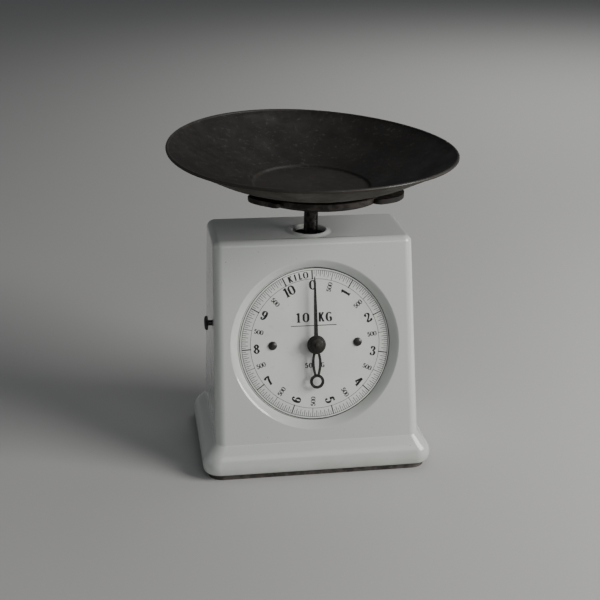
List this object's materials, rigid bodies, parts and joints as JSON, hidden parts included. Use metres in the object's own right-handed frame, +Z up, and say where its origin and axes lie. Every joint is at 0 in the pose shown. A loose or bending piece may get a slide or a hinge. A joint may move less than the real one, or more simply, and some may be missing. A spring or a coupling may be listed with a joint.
{
  "type": "dial counter scale",
  "caption": "Spring dial counter scale: enamelled sloping housing, round kilogram dial with one hand, thumbscrew zero, loose round dish on a plunger rod.",
  "frame": {"origin": "on the resting plane under the base plate, below the hole for the plunger rod", "axes": "+X to the reader's right, +Y away from the reader, +Z up"},
  "size_m": [0.272, 0.272, 0.3071],
  "materials": {
    "white_enamel": "aged white vitreous enamel, gloss",
    "dial_enamel": "printed white enamel",
    "black_paint": "black lacquer",
    "cast_iron": "dark, oiled",
    "worn_tin": "worn, darkened tinned sheet",
    "base_paint": "dark brown paint",
    "steel": "plain steel",
    "blackened_rod": "blackened steel",
    "spring_steel": "oil-hardened wire",
    "brass": "plain brass"
  },
  "bodies": {
    "stand": {"housing": "white_enamel", "base_plate": "base_paint", "housing_screw_1": "steel", "housing_screw_2": "steel", "housing_screw_3": "steel", "housing_screw_4": "steel", "foot_screw_1": "steel", "foot_screw_2": "steel", "foot_screw_3": "steel", "foot_screw_4": "steel", "frame_left": "steel", "frame_right": "steel", "frame_bridge": "steel", "bridge_screw_left": "steel", "bridge_screw_right": "steel", "movement_bracket": "brass", "rear_cock": "brass", "bracket_screw_left": "steel", "bracket_screw_right": "steel", "dial_plate": "dial_enamel", "dial_screw_left": "black_paint", "dial_screw_right": "black_paint", "dial_spacer_left": "steel", "dial_spacer_right": "steel", "upper_link_pivot": "steel", "lower_link_pivot": "steel", "yoke_pivot": "steel", "crank_pivot": "steel", "spring_left": "spring_steel", "spring_right": "spring_steel"},
    "rod": {"plunger_rod": "blackened_rod", "stop_collar": "steel", "crosshead": "steel", "rack": "brass", "rack_arm": "steel", "rack_screw": "steel", "dish_carrier": "cast_iron", "carrier_screw": "steel", "upper_rod_pin": "steel", "lower_rod_pin": "steel"},
    "upper_link": {"upper_link": "steel"},
    "lower_link": {"lower_link": "steel"},
    "pointer": {"arbor": "steel", "pinion": "brass", "hand": "black_paint", "hand_cap": "black_paint"},
    "thumbscrew": {"zero_thumbscrew": "black_paint", "thumbscrew_clip": "steel"},
    "crank": {"zero_crank": "cast_iron"},
    "yoke": {"spring_yoke": "cast_iron"},
    "dish": {"dish": "worn_tin"}
  },
  "joints": [
    {"name": "rod_slide", "type": "slide", "parent": "stand", "child": "rod", "axis": [0, 0, -1], "range_m": [0, 0.0292], "stiffness_N_per_m": 3360, "springref_m": -0.00392, "deforming": ["spring_left", "spring_right"]},
    {"name": "pointer_spin", "type": "hinge", "parent": "stand", "child": "pointer", "pos_m": [0, -0.04528, 0.1192], "axis": [0, 0.9638, -0.2666], "range_deg": [0, 336.5]},
    {"name": "upper_link_swing", "type": "hinge", "parent": "stand", "child": "upper_link", "pos_m": [0.06517, 0, 0.1314], "axis": [0, -1, 0], "range_deg": [0, 25.8]},
    {"name": "lower_link_swing", "type": "hinge", "parent": "stand", "child": "lower_link", "pos_m": [0.06517, 0, 0.0414], "axis": [0, -1, 0], "range_deg": [0, 25.8]},
    {"name": "thumbscrew_turn", "type": "hinge", "parent": "stand", "child": "thumbscrew", "pos_m": [-0.09, -0.027, 0.138], "axis": [1, 0, 0], "range_deg": [-360, 360]},
    {"name": "crank_tilt", "type": "hinge", "parent": "stand", "child": "crank", "pos_m": [-0.066, 0, 0.158], "axis": [0, 1, 0], "range_deg": [-2.2, 2.2]},
    {"name": "yoke_tilt", "type": "hinge", "parent": "stand", "child": "yoke", "pos_m": [0.066, 0, 0.1694], "axis": [0, 1, 0], "range_deg": [-0.157, 0.157]},
    {"name": "dish_lift", "type": "slide", "parent": "rod", "child": "dish", "axis": [0, 0, 1], "range_m": [0, 0.08]}
  ],
  "couplings": [
    {"joint": "pointer_spin", "follows": "rod_slide", "rad_per_m": 200.8},
    {"joint": "upper_link_swing", "follows": "rod_slide", "rad_per_m": 15.33},
    {"joint": "lower_link_swing", "follows": "rod_slide", "rad_per_m": 15.33},
    {"joint": "thumbscrew_turn", "follows": "yoke_tilt", "ratio": -2288.3},
    {"joint": "crank_tilt", "follows": "yoke_tilt", "ratio": -13.661}
  ]
}
